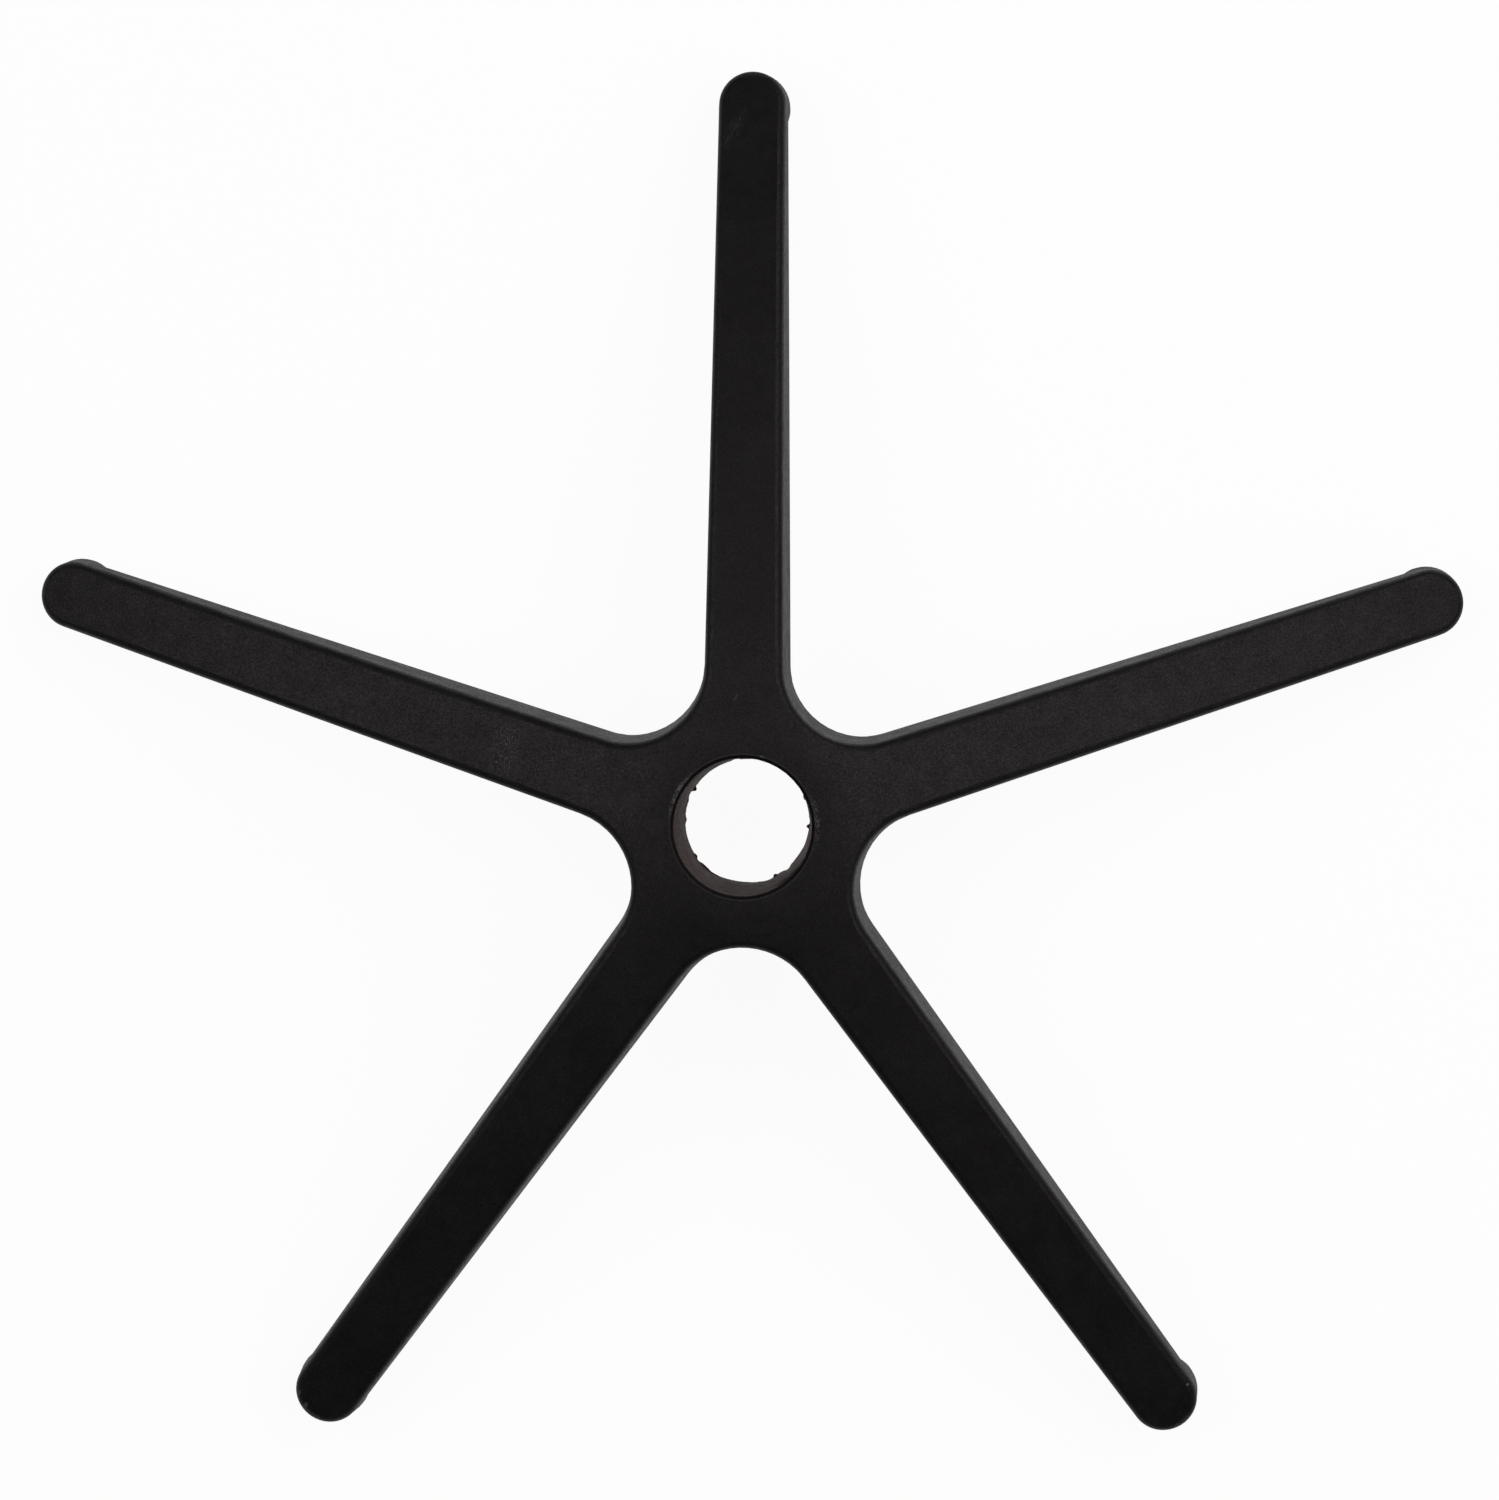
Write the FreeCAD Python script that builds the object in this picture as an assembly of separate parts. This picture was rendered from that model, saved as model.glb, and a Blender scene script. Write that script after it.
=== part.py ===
import FreeCAD, Part
import math
import os

# Five star base of an office chair: one moulding in glass filled nylon, standing on its five
# caster seats. Z is the gas lift's axis, z = 0 is the plane of the caster seats, and the first
# arm points along +Y. All sizes are in millimetres, and angles in degrees.

# Star, seen from above
arm_count = 5
first_arm_angle = 90.0
caster_radius = 264.0        # gas lift axis to caster axis
arm_width_root = 30.2        # at the gas lift axis, level with the hub's top
arm_width_tip = 24.4         # at the caster axis, level with the arm's own top
crotch_radius = 28.5         # inside corner between two arms, level with the hub's top
draft_angle = 2.35           # walls open towards the floor by this much

# Top surface, turned about the gas lift's axis
hub_flat_reach = 27.0        # the hub's top is flat this far out
hub_blend_radius = 70.0      # then it bends over into the arms
arm_slope = 9.95             # slope of the arms where the bend ends
arch_radius = 1270.0         # and the arms arch down to their tips
top_edge_radius = 3.0

# Depths
caster_boss_height = 27.5    # caster seat to the arm's top, at the caster axis
skirt_depth = 44.0           # hub's top to the lower edge of the walls round the hub
skirt_flat_reach = 45.0      # that edge is level this far out, and then falls to the tip
arm_depth_tip = 16.0         # depth of the arm's walls at the caster axis
foot_margin = 0.1            # a foot's round is this much wider than the arm's end, at the seat
hub_depth = 52.0             # hub's top to the lower end of the gas lift bore

# Walls under the top
deck_thickness = 4.5
side_wall = 3.6
hub_wall = 6.0               # round the bore, at its lower end
rib_thickness = 2.4
rib_pitch = 27.0             # along an arm, from one diagonal rib's end to the next
rib_recess = 2.0             # ribs end this far above the walls' lower edge

# Gas lift bore
column_diameter = 50.0
bore_land = 8.0              # straight wall at the mouth, above the taper
bore_taper = 1.432           # half angle of the seat for the gas lift's cone
bore_mouth_chamfer = 1.15
bore_foot_chamfer = 0.8

# Caster sockets
stem_diameter = 11.0
stem_clearance = 0.1
socket_depth = 23.0

# Cutting tools reach this far past what they cut
reach = 20.0

# A face belongs to the top, and not to a wall, when its normal points up by more than this
top_face_tilt = 0.7

axis_up = FreeCAD.Vector(0, 0, 1)
origin = FreeCAD.Vector(0, 0, 0)
half_gap = 180.0 / arm_count
arm_angles = [first_arm_angle + 2 * half_gap * number for number in range(arm_count)]


def deck_bend():
    """End of the bend from the hub's top into the arms, as (distance from the axis, drop)."""
    slope = math.radians(arm_slope)
    return (hub_flat_reach + hub_blend_radius * math.sin(slope),
            hub_blend_radius * (1 - math.cos(slope)))


def deck_drop(distance):
    """How far the arms' top lies below the hub's top, on the arch beyond the bend."""
    start, drop = deck_bend()
    first = math.radians(arm_slope)
    here = math.asin(math.sin(first) + (distance - start) / arch_radius)
    return drop + arch_radius * (math.cos(first) - math.cos(here))


draft = math.tan(math.radians(draft_angle))
tip_drop = deck_drop(caster_radius)
hub_top = caster_boss_height + tip_drop
hub_bottom = hub_top - hub_depth
skirt_level = hub_top - skirt_depth

# An arm's sides are the common tangents of a circle at the hub and one at the tip
root_radius = arm_width_root / 2
tip_radius = arm_width_tip / 2 - draft * tip_drop
side_angle = math.asin((root_radius - tip_radius) / caster_radius)
arm_end = caster_radius + arm_width_tip / 2 + reach
tool_half_width = arm_width_root + crotch_radius / 2

bore_radius = column_diameter / 2
taper_length = hub_depth - bore_mouth_chamfer - bore_land
bore_foot_radius = bore_radius - taper_length * math.tan(math.radians(bore_taper))
socket_radius = (stem_diameter + stem_clearance) / 2
foot_radius = arm_width_tip / 2 + draft * caster_boss_height + foot_margin
foot_start = caster_radius - foot_radius


def widening(z):
    """How far the walls have opened at height z."""
    return draft * (hub_top - z)


def turned(shape, angle):
    return shape.rotated(origin, axis_up, angle)


def round_arms(shape):
    return [turned(shape, angle) for angle in arm_angles]


def star_wire(z, inset):
    """Closed outline of the star at height z, moved inwards by inset."""
    grow = widening(z) - inset
    tip = tip_radius + grow
    crotch = crotch_radius - grow
    bisector = math.radians(half_gap)
    lean = side_angle
    crotch_centre = (root_radius + crotch_radius) / math.sin(bisector + lean)

    def point(x, y, angle):
        return turned(Part.Vertex(x, y, z), angle).Point

    tip_side = (caster_radius + tip * math.sin(lean), tip * math.cos(lean))
    root_side = (crotch_centre * math.cos(bisector) - crotch * math.sin(lean),
                 crotch_centre * math.sin(bisector) - crotch * math.cos(lean))
    edges = []
    for angle in arm_angles:
        root_right = point(root_side[0], -root_side[1], angle)
        tip_right = point(tip_side[0], -tip_side[1], angle)
        tip_end = point(caster_radius + tip, 0, angle)
        tip_left = point(tip_side[0], tip_side[1], angle)
        root_left = point(root_side[0], root_side[1], angle)
        apex = point(crotch_centre - crotch, 0, angle + half_gap)
        next_root = point(root_side[0], -root_side[1], angle + 2 * half_gap)
        edges += [
            Part.LineSegment(root_right, tip_right).toShape(),
            Part.Arc(tip_right, tip_end, tip_left).toShape(),
            Part.LineSegment(tip_left, root_left).toShape(),
            Part.Arc(root_left, apex, next_root).toShape(),
        ]
    return Part.Wire(edges)


def arm_prism(edges):
    """Solid from a closed outline in an arm's upright middle plane, as wide as the tools are."""
    face = Part.Face(Part.Wire(edges))
    face.translate(FreeCAD.Vector(0, -tool_half_width, 0))
    return face.extrude(FreeCAD.Vector(0, 2 * tool_half_width, 0))


def turned_solid(edges):
    """Solid from a closed outline in the XZ plane, turned about the gas lift's axis."""
    return Part.Face(Part.Wire(edges)).revolve(origin, axis_up, 360)


def polyline(points):
    vectors = [FreeCAD.Vector(x, 0, z) for x, z in points]
    return [Part.LineSegment(a, b).toShape() for a, b in zip(vectors, vectors[1:])]


def above_star(lowered):
    """Everything above the arms' top surface, with that surface lowered."""
    top = hub_top - lowered

    def on_blend(angle):
        turn = math.radians(angle)
        return FreeCAD.Vector(hub_flat_reach + hub_blend_radius * math.sin(turn), 0,
                              top - hub_blend_radius * (1 - math.cos(turn)))

    def on_arch(distance):
        return FreeCAD.Vector(distance, 0, top - deck_drop(distance))

    bend_end = deck_bend()[0]
    blend = Part.Arc(on_blend(0), on_blend(arm_slope / 2), on_blend(arm_slope))
    arch = Part.Arc(on_arch(bend_end), on_arch((bend_end + arm_end) / 2), on_arch(arm_end))
    ceiling = hub_top + reach
    lines = polyline([(arm_end, top - deck_drop(arm_end)), (arm_end, ceiling),
                      (hub_flat_reach, ceiling), (hub_flat_reach, top)])
    return turned_solid([blend.toShape(), arch.toShape()] + lines)


def below_arm(raised):
    """Everything below the lower edge of an arm's walls, with that edge raised."""
    level = skirt_level + raised
    tip_level = hub_top - tip_drop - arm_depth_tip + raised
    return arm_prism(polyline([(0, level), (skirt_flat_reach, level), (caster_radius, tip_level),
                               (caster_radius, -reach), (0, -reach), (0, level)]))


def star_block(top, inset):
    """Star with drafted walls and arched arms, from the floor up to its flat top."""
    block = Part.makeLoft([star_wire(top, inset), star_wire(0, inset)], True, True)
    return block.cut(above_star(hub_top - top))


def hub_boss():
    """Cone round the gas lift bore."""
    foot = bore_foot_radius + hub_wall
    return Part.makeCone(foot, foot + draft * hub_depth, hub_depth,
                         FreeCAD.Vector(0, 0, hub_bottom), axis_up)


def caster_boss():
    """Round foot for a caster socket, as tall as the hub."""
    return Part.makeCylinder(foot_radius, hub_top, FreeCAD.Vector(caster_radius, 0, 0), axis_up)


def rounded_top(block):
    """The block with its whole upper rim rounded."""
    rim = []
    for edge in block.Edges:
        tilts = []
        for face in block.ancestorsOfType(edge, Part.Face):
            u, v = face.Surface.parameter(edge.CenterOfMass)
            tilts.append(face.normalAt(u, v).z)
        if len(tilts) == 2 and max(tilts) > top_face_tilt > min(tilts):
            rim.append(edge)
    return block.makeFillet(top_edge_radius, rim)


def upright_strip(start, end):
    """A rib's full height, from one point in plan to another."""
    along = FreeCAD.Vector(end[0] - start[0], end[1] - start[1], 0)
    strip = Part.makeBox(along.Length, rib_thickness, hub_top,
                         FreeCAD.Vector(0, -rib_thickness / 2, 0))
    strip.rotate(origin, axis_up, math.degrees(math.atan2(along.y, along.x)))
    strip.translate(FreeCAD.Vector(start[0], start[1], 0))
    return strip


def ribs():
    """Spokes round the hub and a zigzag down each arm."""
    first = crotch_radius + root_radius
    last = foot_start
    count = max(2, round((last - first) / rib_pitch))
    step = (last - first) / count
    side = root_radius - side_wall / 2
    strips = [upright_strip((0, 0), (first, 0)),
              turned(upright_strip((0, 0), (first + side_wall, 0)), half_gap)]
    for number in range(count):
        way = 1 if number % 2 else -1
        start = first + number * step
        strips.append(upright_strip((start, way * side), (start + step, -way * side)))
    one_arm = strips[0].fuse(strips[1:])
    arms = round_arms(one_arm)
    return arms[0].fuse(arms[1:]).cut(round_arms(below_arm(rib_recess)))


def gas_lift_bore():
    """Chamfered mouth, straight land, taper and chamfered foot, as one turned solid."""
    mouth = bore_radius + bore_mouth_chamfer
    foot = bore_foot_radius + bore_foot_chamfer
    land_start = hub_top - bore_mouth_chamfer
    return turned_solid(polyline([
        (0, hub_top + reach), (0, hub_bottom - reach), (foot, hub_bottom - reach), (foot, hub_bottom),
        (bore_foot_radius, hub_bottom + bore_foot_chamfer), (bore_radius, land_start - bore_land),
        (bore_radius, land_start), (mouth, hub_top), (mouth, hub_top + reach), (0, hub_top + reach)]))


def caster_socket():
    """Blind hole for a caster's stem, open at the seat."""
    return Part.makeCylinder(socket_radius, socket_depth, FreeCAD.Vector(caster_radius, 0, 0), axis_up)


def star_base():
    under = below_arm(0).cut([hub_boss(), caster_boss()])
    outside = rounded_top(star_block(hub_top, 0)).cut(round_arms(under))
    hollow = star_block(hub_top - deck_thickness, side_wall)
    hollow = hollow.cut([hub_boss(), ribs()] + round_arms(caster_boss()))
    cuts = [hollow, gas_lift_bore()] + round_arms(caster_socket())
    return outside.cut(cuts).removeSplitter()


os.makedirs("parts", exist_ok=True)
base = star_base()
box = base.optimalBoundingBox()
print("hub top %.2f, hub bottom %.2f, bore foot radius %.3f" % (hub_top, hub_bottom, bore_foot_radius))
print("box %.2f x %.2f x %.2f, volume %.1f cm3, solids %d, valid %s"
      % (box.XLength, box.YLength, box.ZLength, base.Volume / 1000, len(base.Solids), base.isValid()))
base.Solids[0].exportStep("parts/star_base.step")
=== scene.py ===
import math

import bpy
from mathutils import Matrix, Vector, noise


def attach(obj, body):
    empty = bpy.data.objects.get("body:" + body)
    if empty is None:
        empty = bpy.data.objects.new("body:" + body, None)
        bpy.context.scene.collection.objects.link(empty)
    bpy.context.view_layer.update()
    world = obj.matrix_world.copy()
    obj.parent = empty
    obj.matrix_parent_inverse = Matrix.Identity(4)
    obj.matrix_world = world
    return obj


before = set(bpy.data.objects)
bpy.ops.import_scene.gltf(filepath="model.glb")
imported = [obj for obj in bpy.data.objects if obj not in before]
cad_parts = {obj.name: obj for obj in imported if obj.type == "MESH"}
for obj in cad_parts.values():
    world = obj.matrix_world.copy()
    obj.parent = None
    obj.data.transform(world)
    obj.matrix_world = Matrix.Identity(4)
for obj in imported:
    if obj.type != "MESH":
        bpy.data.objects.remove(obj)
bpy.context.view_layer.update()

mm = 0.001
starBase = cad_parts["star_base"]
print("frame loaded:", len(starBase.data.polygons), "faces on the star base")


# A shader socket that Python sums can be done with
class Wire:
    def __init__(self, socket):
        self.socket = socket

    def node(self, kind, settings=None, inputs=None, output=0):
        made = self.socket.id_data.nodes.new(kind)
        for name, value in (settings or {}).items():
            setattr(made, name, value)
        fill(made, inputs or {})
        return Wire(made.outputs[output])

    def math(self, operation, first, second=0.0):
        return self.node("ShaderNodeMath", {"operation": operation}, {0: first, 1: second})

    def __add__(self, other):
        return self.math("ADD", self, other)

    __radd__ = __add__

    def __sub__(self, other):
        return self.math("SUBTRACT", self, other)

    def __rsub__(self, other):
        return self.math("SUBTRACT", other, self)

    def __mul__(self, other):
        return self.math("MULTIPLY", self, other)

    __rmul__ = __mul__

    def __lt__(self, other):
        return self.math("LESS_THAN", self, other)

    def __or__(self, other):
        return self.math("MAXIMUM", self, other)


def plug(socket, value):
    if isinstance(value, Wire):
        socket.id_data.links.new(value.socket, socket)
    else:
        socket.default_value = value


def fill(node, values):
    for name, value in values.items():
        plug(node.inputs[name], value)


def newMaterial(name):
    material = bpy.data.materials.new(name)
    material.use_nodes = True
    return material, material.node_tree.nodes["Principled BSDF"]


def step(wire, low, high):
    return wire.node("ShaderNodeMapRange", {"interpolation_type": "SMOOTHSTEP"},
                     {"Value": wire, "From Min": low, "From Max": high})


def noiseOn(place, values, output=0):
    return place.node("ShaderNodeTexNoise", None, {"Vector": place, **values}, output)


def stretch(place, factors):
    return place.node("ShaderNodeVectorMath", {"operation": "MULTIPLY"}, {0: place, 1: factors})


def axisOf(place, axis):
    return place.node("ShaderNodeSeparateXYZ", None, {0: place}, axis)


def channelOf(colour, channel):
    return colour.node("ShaderNodeSeparateColor", None, {"Color": colour}, channel)


# A Mix node has its factor at 0, its two colours at 6 and 7, and gives a colour at 2
def blend(share, first, second):
    return share.node("ShaderNodeMix", {"data_type": "RGBA", "clamp_factor": True},
                      {0: share, 6: first, 7: second}, 2)


# Moulded black nylon: fine spark texture on top, coarser walls, a painted warm cast of reflected light on
# the walls and more of it in the bore, and old scuffs.
# Places and sizes are in millimetres on the part, noise scales are per millimetre, turns in degrees.
nylon = {
    "black": (0.0012, 0.0010, 0.0011, 1),
    "grey": (0.0102, 0.0094, 0.0098, 1),
    "castBrown": (0.040, 0.0190, 0.0170, 1),
    "scuffed": (0.105, 0.102, 0.106, 1),
    "specular": 0.15,
    "specularTint": (1.0, 0.915, 0.955, 1),
    # noises, from the spark texture up to broad clouds, and the drawn marks down the bore
    "grain": {"Scale": 1 / 0.62, "Detail": 2.0, "Roughness": 0.6},
    "fine": {"Scale": 2.0, "Detail": 3.0, "Roughness": 0.7},
    "mottle": {"Scale": 1 / 8.0, "Detail": 6.0, "Roughness": 0.8},
    "ripple": {"Scale": 1 / 8.0, "Detail": 4.0, "Roughness": 0.5},
    "cloud": {"Scale": 1 / 30.0, "Detail": 4.0, "Roughness": 0.55},
    "draw": {"Scale": 1.0, "Detail": 3.0, "Roughness": 0.6},
    "drawStretch": (0.16, 0.16, 0.42),
    "speck": {"Scale": 1 / 0.6},
    "speckFrom": 0.82,               # cells with a chance above this are specks
    # how much each of them counts, from black to grey, in roughness, in depth and in the painted warm cast
    "shade": {"plain": 0.26, "grain": 2.6, "mottle": 0.9, "cloud": 0.5, "speck": 0.35},
    "roughness": {"plain": 0.46, "wall": 0.62, "bore": 0.79, "flash": 0.72, "smear": 0.3, "scuff": 0.2,
                  "grain": 0.60, "sheen": 0.5, "cloud": 0.12, "speck": 0.12},
    "depth": {"grain": 0.018, "ripple": 0.10},
    # painted warm cast: the walls a little and the bore more are painted browner, standing in for the warm
    # light they reflect
    "tan": {"wall": 0.06, "bore": 0.25, "draw": 1.5},
    # where the walls, the bore, its flash and its smear begin and are full
    "uprightTilt": (0.45, 0.15),
    "boreRadius": 25.15,
    "flashHeights": (60.0, 52.0),
    "smearHeights": (62.0, 75.0),
    # a scuff is an oval of broken marks: streak is how close they are along, across and down,
    # noise above cut leaves a mark, and much is the strongest one
    "scuffLook": {"marks": {"Scale": 1.3, "Detail": 3.0, "Roughness": 0.7},
                  "soft": 0.16, "fade": 0.35, "depth": 1000.0},
    "scuffs": [
        {"at": (-87.0, 27.5), "size": (13.0, 7.0), "turn": 76,
         "streak": (0.6, 1.5, 0.0), "cut": 0.53, "much": 0.95},
        {"at": (-52.5, 25.5), "size": (5.0, 2.2), "turn": 60,
         "streak": (1.0, 1.4, 0.0), "cut": 0.50, "much": 0.35},
        {"at": (-31.5, 0.5), "size": (5.0, 4.5), "turn": 0,
         "streak": (1.5, 1.5, 0.0), "cut": 0.46, "much": 0.13},
        {"at": (-66.0, 20.0), "size": (34.0, 14.0), "turn": -18,
         "streak": (1.5, 1.5, 0.0), "cut": 0.55, "much": 0.36},
        {"at": (66.0, 20.0), "size": (34.0, 14.0), "turn": 18,
         "streak": (1.5, 1.5, 0.0), "cut": 0.56, "much": 0.26},
        {"at": (-6.6, 255.0), "size": (11.0, 3.4), "turn": 64,
         "streak": (0.12, 1.2, 0.0), "cut": 0.46, "much": 0.16},
        {"at": (-262.0, 74.3), "size": (3.4, 1.9), "turn": 120,
         "streak": (1.0, 1.0, 0.0), "cut": 0.42, "much": 0.6},
        {"at": (-166.6, -215.2), "size": (2.2, 1.2), "turn": 70,
         "streak": (1.0, 1.0, 0.0), "cut": 0.40, "much": 0.5},
        {"at": (-164.2, -219.9), "size": (2.2, 1.2), "turn": 60,
         "streak": (1.0, 1.0, 0.0), "cut": 0.40, "much": 0.5},
        {"at": (163.9, -208.2), "size": (0.8, 0.6), "turn": 40,
         "streak": (0.2, 0.2, 0.0), "cut": 0.10, "much": 0.8},
        {"at": (-2.8, 46.8), "size": (2.2, 0.5), "turn": 60,
         "streak": (0.2, 0.5, 0.0), "cut": 0.30, "much": 0.2},
    ],
    "smear": {"at": (17.2, -18.2), "size": (8.0, 5.0), "turn": 43,
              "streak": (0.3, 0.4, 0.12), "cut": 0.30, "much": 1.0},
    # wear along the bore's sharp edge, the last one thinly all the way round
    "wearLook": {"soft": 0.14, "fade": 0.3},
    "rimWear": [
        {"turn": 153, "spread": 27, "radius": 26.8, "width": 0.9, "cut": 0.46, "much": 1.0},
        {"turn": 7, "spread": 29, "radius": 27.15, "width": 1.35, "cut": 0.49, "much": 0.75},
        {"turn": 75, "spread": 5, "radius": 26.5, "width": 0.5, "cut": 0.42, "much": 0.5},
        {"turn": 0, "spread": 500, "radius": 26.45, "width": 0.3, "cut": 0.35, "much": 0.14},
    ],
}


def scuffMask(place, scuff, look):
    x, y = scuff["at"]
    length, width = scuff["size"]
    along, across, down = scuff["streak"]
    local = place.node("ShaderNodeMapping", {"vector_type": "TEXTURE"}, {
        "Vector": place,
        "Location": (x, y, 0),
        "Rotation": (0, 0, math.radians(scuff["turn"])),
        "Scale": (length, width, look["depth"]),
    })
    away = place.node("ShaderNodeVectorMath", {"operation": "LENGTH"}, {0: local}, "Value")
    streaked = stretch(local, (length * along, width * across, look["depth"] * down))
    broken = step(noiseOn(streaked, look["marks"]), scuff["cut"], scuff["cut"] + look["soft"])
    return step(away, 1.0, look["fade"]) * broken * scuff["much"]


def wearMask(turn, radius, fine, wear, look):
    aside = turn.math("ABSOLUTE", turn - math.radians(wear["turn"]))
    off = turn.math("ABSOLUTE", radius - wear["radius"])
    inTurn = step(aside, math.radians(wear["spread"]), 0.0)
    inWidth = step(off, wear["width"], wear["width"] * look["fade"])
    broken = step(fine, wear["cut"], wear["cut"] + look["soft"])
    return inTurn * inWidth * broken * wear["much"]


def makeNylon(name, settings):
    material, shader = newMaterial(name)
    start = Wire(shader.inputs["Base Color"])
    metres = start.node("ShaderNodeTexCoord", output="Object")
    facing = start.node("ShaderNodeTexCoord", output="Normal")
    place = start.node("ShaderNodeVectorMath", {"operation": "SCALE"}, {0: metres, "Scale": 1 / mm})

    grain = noiseOn(place, settings["grain"])
    fine = noiseOn(place, settings["fine"])
    ripple = noiseOn(place, settings["ripple"])
    cloud = noiseOn(place, settings["cloud"])
    draw = noiseOn(stretch(place, settings["drawStretch"]), settings["draw"])
    patches = noiseOn(place, settings["mottle"], "Color")
    mottle = channelOf(patches, "Red")
    sheen = channelOf(patches, "Green")
    cell = start.node("ShaderNodeTexVoronoi", None, {"Vector": place, **settings["speck"]}, "Color")
    chance = channelOf(cell, "Red")
    speck = start.node("ShaderNodeMapRange", None,
                       {"Value": chance, "From Min": settings["speckFrom"], "From Max": 1.0})

    x, y, z = [axisOf(place, axis) for axis in "XYZ"]
    radius = start.math("SQRT", x * x + y * y)
    turn = start.math("ARCTAN2", y, x)
    inBore = radius < settings["boreRadius"]
    upright = step(axisOf(facing, "Z"), *settings["uprightTilt"])
    onFlash = step(z, *settings["flashHeights"])
    smear = scuffMask(place, settings["smear"], settings["scuffLook"]) * step(z, *settings["smearHeights"])

    masks = [scuffMask(place, scuff, settings["scuffLook"]) for scuff in settings["scuffs"]]
    for wear in settings["rimWear"]:
        masks.append(wearMask(turn, radius, fine, wear, settings["wearLook"]) * (1 - upright))
    scuffed = masks[0]
    for mask in masks[1:]:
        scuffed = scuffed | mask

    middle = 0.5  # what a noise swings about
    share = settings["shade"]
    shade = ((cloud - middle) * share["cloud"] + (mottle - middle) * share["mottle"]
             + (grain - middle) * share["grain"] + speck * share["speck"] + share["plain"])
    # painted warm cast of reflected light: a little on the walls, more in the bore, streaked down the bore
    # and cut away where it is smeared
    share = settings["tan"]
    paintedBoreCast = inBore * (draw * share["draw"] + share["bore"]) * (1 - smear)
    colour = blend(shade, settings["black"], settings["grey"])
    tanned = blend(paintedBoreCast | upright * share["wall"], colour, settings["castBrown"])
    worn = blend(scuffed, tanned, settings["scuffed"])

    # walls and bore are rougher than the top, and high grain and specks are smoother
    share = settings["roughness"]
    plain = share["plain"]
    boreRough = onFlash * (share["flash"] - share["bore"]) + share["bore"]
    coarser = (upright * (share["wall"] - plain) * (1 - inBore)
               + inBore * (boreRough - plain + smear * share["smear"]))
    texture = ((cloud - middle) * share["cloud"] + (sheen - middle) * share["sheen"]
               + (middle - grain) * share["grain"] - speck * share["speck"])
    rough = texture + scuffed * share["scuff"] + coarser + plain

    height = grain * settings["depth"]["grain"] + ripple * settings["depth"]["ripple"]
    bump = start.node("ShaderNodeBump", None, {"Height": height, "Distance": mm, "Strength": 1.0})
    fill(shader, {
        "Base Color": worn,
        "Roughness": rough,
        "Specular IOR Level": settings["specular"],
        "Specular Tint": settings["specularTint"],
        "Normal": bump,
    })
    return material


blackNylon = makeNylon("mouldedNylon", nylon)
starBase.data.materials.clear()
starBase.data.materials.append(blackNylon)
print("nylon made with", len(nylon["scuffs"]) + len(nylon["rimWear"]), "scuffs")

# Moulding flash down the lower wall of the bore, ragged at its foot, in millimetres and degrees.
# Waves shape the whole edge and nubs its thin lower lip. Each reaches into the bore, or is a notch
# where its reach is negative.
flash = {
    "top": 58.0,
    "topRadius": 24.48,
    "edge": 38.5,
    "edgeRadius": 22.86,
    "foot": 37.9,
    "footRadius": 24.0,
    "thickness": 0.3,
    "lip": 0.04,
    "lipDrop": 0.01,
    "levelGap": 0.005,               # tells one loop's height from the next
    "points": 720,
    "smoothAngle": 40,
    "ragged": 0.07,
    "raggedNoise": [(9.7, 1.0), (31.0, 0.7), (80.0, 0.5)],  # scale and weight
    "waves": [
        {"angle": 155.5, "reach": -0.5, "width": 5.0},
        {"angle": 179.0, "reach": 0.3, "width": 5.0},
        {"angle": 219.0, "reach": -0.3, "width": 3.0},
        {"angle": 231.0, "reach": -0.4, "width": 20.0},
        {"angle": 262.0, "reach": 0.42, "width": 18.0},
        {"angle": 289.0, "reach": -0.25, "width": 7.0},
        {"angle": 303.0, "reach": 0.35, "width": 5.0},
        {"angle": 311.0, "reach": -0.3, "width": 4.0},
        {"angle": 324.0, "reach": 0.28, "width": 12.0},
        {"angle": 0.0, "reach": -0.2, "width": 4.0},
        {"angle": 45.0, "reach": 0.24, "width": 14.0},
        {"angle": 82.0, "reach": -0.2, "width": 6.0},
        {"angle": 101.0, "reach": -0.4, "width": 5.0},
    ],
    "nubs": [
        {"angle": 22.5, "reach": 0.4, "width": 3.0},
        {"angle": 149.0, "reach": 0.95, "width": 2.8},
        {"angle": 179.0, "reach": 0.25, "width": 2.0},
        {"angle": 214.5, "reach": 0.4, "width": 2.6},
        {"angle": 228.0, "reach": 0.25, "width": 6.0},
        {"angle": 231.0, "reach": 0.4, "width": 20.0},
        {"angle": 297.5, "reach": 0.8, "width": 2.4},
        {"angle": 355.5, "reach": 0.9, "width": 2.2},
    ],
}


def reachAt(turn, bumps):
    total = 0.0
    for bump in bumps:
        off = (math.degrees(turn) - bump["angle"] + 180) % 360 - 180
        total += bump["reach"] * max(0.0, 1 - (off / bump["width"]) ** 2)
    return total


def flashRadius(turn, settings, onLip):
    spot = Vector((math.cos(turn), math.sin(turn), 0))
    wave = 0.0
    for scale, weight in settings["raggedNoise"]:
        wave += weight * noise.noise(spot * scale)
    radius = settings["edgeRadius"] - settings["ragged"] * wave - reachAt(turn, settings["waves"])
    if onLip:
        radius -= settings["lip"] + reachAt(turn, settings["nubs"])
    return radius * mm


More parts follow.
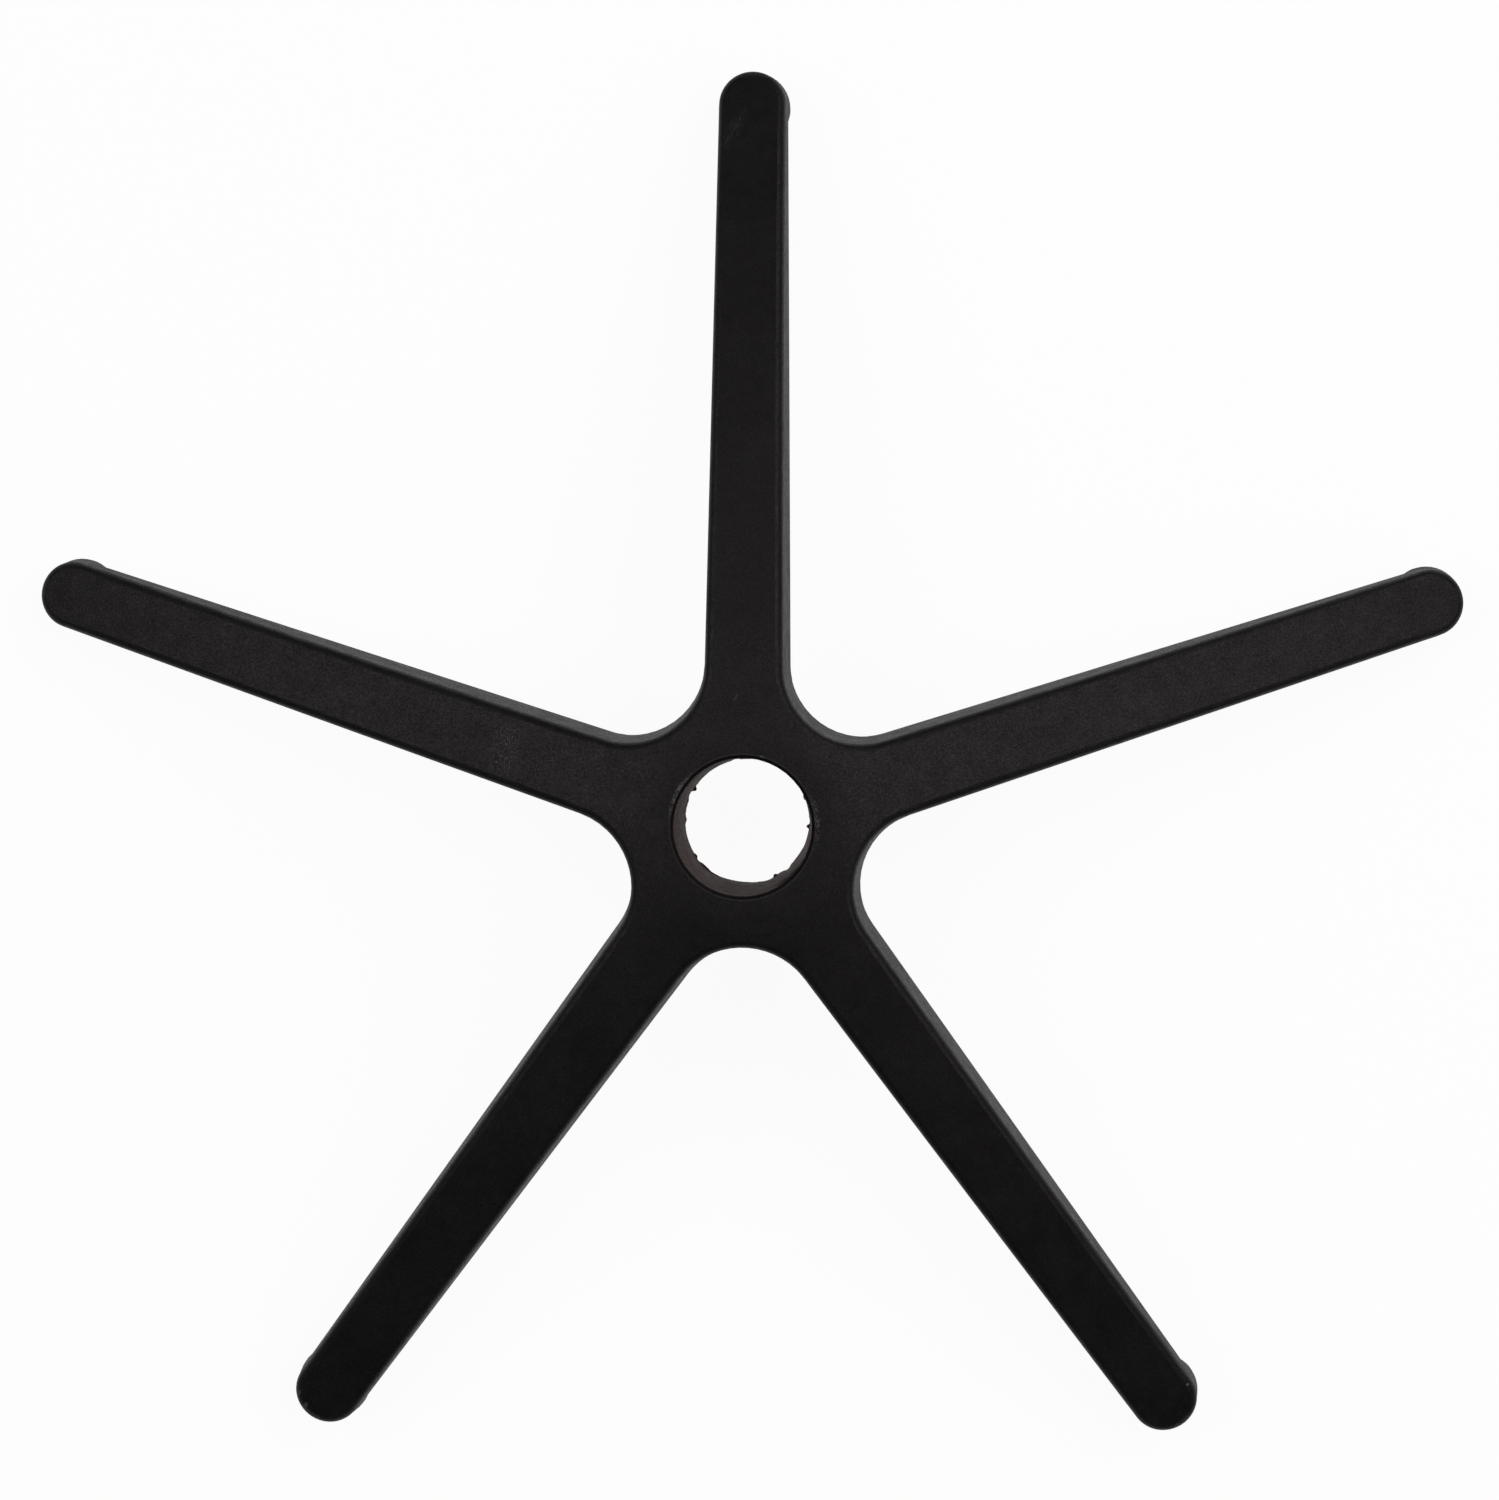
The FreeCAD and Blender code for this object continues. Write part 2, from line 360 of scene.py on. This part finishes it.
def addFlash(settings):
    bpy.ops.object.select_all(action="DESELECT")
    bpy.ops.mesh.primitive_circle_add(vertices=settings["points"], radius=settings["topRadius"] * mm)
    piece = bpy.context.object
    piece.name = "boreFlash"
    bpy.ops.object.mode_set(mode="EDIT")
    bpy.ops.mesh.select_all(action="SELECT")
    bpy.ops.transform.translate(value=(0, 0, settings["top"] * mm))
    # down the slope to the edge, over the lip, and back out to the bore's wall
    radius, level = settings["topRadius"], settings["top"]
    lipRadius = settings["edgeRadius"] - settings["lip"]
    lipLevel = settings["edge"] - settings["lipDrop"]
    loops = [
        (settings["edgeRadius"], settings["edge"]),
        (lipRadius, lipLevel),
        (lipRadius, lipLevel - settings["thickness"]),
        (settings["footRadius"], settings["foot"]),
    ]
    for nextRadius, nextLevel in loops:
        bpy.ops.mesh.extrude_edges_move()
        share = nextRadius / radius
        bpy.ops.transform.resize(value=(share, share, 1))
        bpy.ops.transform.translate(value=(0, 0, (nextLevel - level) * mm))
        radius, level = nextRadius, nextLevel
    bpy.ops.mesh.select_all(action="DESELECT")
    bpy.ops.mesh.select_non_manifold()
    bpy.ops.mesh.bridge_edge_loops()
    bpy.ops.object.mode_set(mode="OBJECT")
    gap = settings["levelGap"]
    for vertex in piece.data.vertices:
        height = vertex.co.z / mm
        if settings["foot"] + gap < height < settings["top"] - gap:
            turn = math.atan2(vertex.co.y, vertex.co.x)
            edge = flashRadius(turn, settings, height < settings["edge"] - gap)
            vertex.co = Vector((math.cos(turn) * edge, math.sin(turn) * edge, vertex.co.z))
    bpy.ops.object.mode_set(mode="EDIT")
    bpy.ops.mesh.select_all(action="SELECT")
    bpy.ops.mesh.normals_make_consistent(inside=False)
    bpy.ops.object.mode_set(mode="OBJECT")
    bpy.ops.object.shade_smooth_by_angle(angle=math.radians(settings["smoothAngle"]))
    piece.data.materials.append(blackNylon)
    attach(piece, "root")
    return piece


boreFlash = addFlash(flash)
print("flash made:", len(boreFlash.data.polygons), "faces")

# Floor, soft lamps and a dim room. Places and sizes are in metres.
studio = {
    "floorSize": 60.0,
    "floorLevel": -0.0002,
    "floorColour": (0.95, 0.95, 0.95, 1),
    "floorRoughness": 0.9,
    "floorGlow": 0.94,
    "roomColour": (0.154, 0.154, 0.154, 1),
    "lamps": {
        "right": {"at": (1.223, 0.397, 1.907), "size": 1.7, "power": 18.6},
        "left": {"at": (-1.223, 0.397, 1.907), "size": 1.7, "power": 18.0},
        "backRight": {"at": (1.065, 1.466, 1.416), "size": 1.1, "power": 6.9},
        "frontRight": {"at": (1.724, -0.560, 1.416), "size": 1.1, "power": 3.2},
        "over": {"at": (0.249, 0.432, 2.348), "size": 1.2, "power": 3.0},
    },
}


def addFloor(settings):
    bpy.ops.object.select_all(action="DESELECT")
    bpy.ops.mesh.primitive_plane_add(size=settings["floorSize"],
                                     location=(0, 0, settings["floorLevel"]))
    floor = bpy.context.object
    floor.name = "studioFloor"
    material, shader = newMaterial("paleFloor")
    fill(shader, {
        "Base Color": settings["floorColour"],
        "Roughness": settings["floorRoughness"],
        "Specular IOR Level": 0.0,
    })
    # the camera and reflections see it white
    start = Wire(shader.outputs[0])
    seen = start.node("ShaderNodeLightPath", output="Is Camera Ray")
    for ray in ("Is Glossy Ray", "Is Transmission Ray"):
        seen = seen | start.node("ShaderNodeLightPath", output=ray)
    glow = start.node("ShaderNodeEmission", None, {"Color": (1, 1, 1, 1), "Strength": 1.0})
    both = start.node("ShaderNodeMixShader", None, {0: seen * settings["floorGlow"], 1: start, 2: glow})
    # seen from below it is clear, so that the underside shows
    below = start.node("ShaderNodeNewGeometry", output="Backfacing")
    clear = start.node("ShaderNodeBsdfTransparent")
    sheet = start.node("ShaderNodeMixShader", None, {0: below, 1: both, 2: clear})
    plug(shader.id_data.nodes["Material Output"].inputs["Surface"], sheet)
    floor.data.materials.append(material)


# A square lamp that faces the middle of the floor
def addLamp(name, settings):
    lamp = bpy.data.lights.new(name + "Lamp", "AREA")
    lamp.shape = "SQUARE"
    lamp.size = settings["size"]
    lamp.energy = settings["power"]
    holder = bpy.data.objects.new(name + "Lamp", lamp)
    holder.location = settings["at"]
    holder.rotation_euler = (-Vector(settings["at"])).to_track_quat("-Z", "Y").to_euler()
    bpy.context.scene.collection.objects.link(holder)


addFloor(studio)
for lampName, lampSettings in studio["lamps"].items():
    addLamp(lampName, lampSettings)
room = bpy.data.worlds.new("studioRoom")
room.use_nodes = True
plug(room.node_tree.nodes["Background"].inputs["Color"], studio["roomColour"])
bpy.context.scene.world = room
print("studio lit by", len(studio["lamps"]), "lamps")

# Camera almost straight above the hub, far off with a long lens. Its place is in metres, its turn
# in degrees, and its lens and sensor in millimetres.
view = {
    "at": (0.08639, 0.11510, 2.58958),
    "turn": (-1.98429, 1.93502, 0.31796),
    "lens": 166.441,
    "sensor": 36,
}
camera = bpy.data.cameras.new("photoCamera")
camera.lens = view["lens"]
camera.sensor_width = view["sensor"]
tripod = bpy.data.objects.new("photoCamera", camera)
tripod.location = view["at"]
tripod.rotation_euler = [math.radians(angle) for angle in view["turn"]]
bpy.context.scene.collection.objects.link(tripod)
bpy.context.scene.camera = tripod
bpy.context.scene.view_settings.view_transform = "Standard"
print("camera placed")
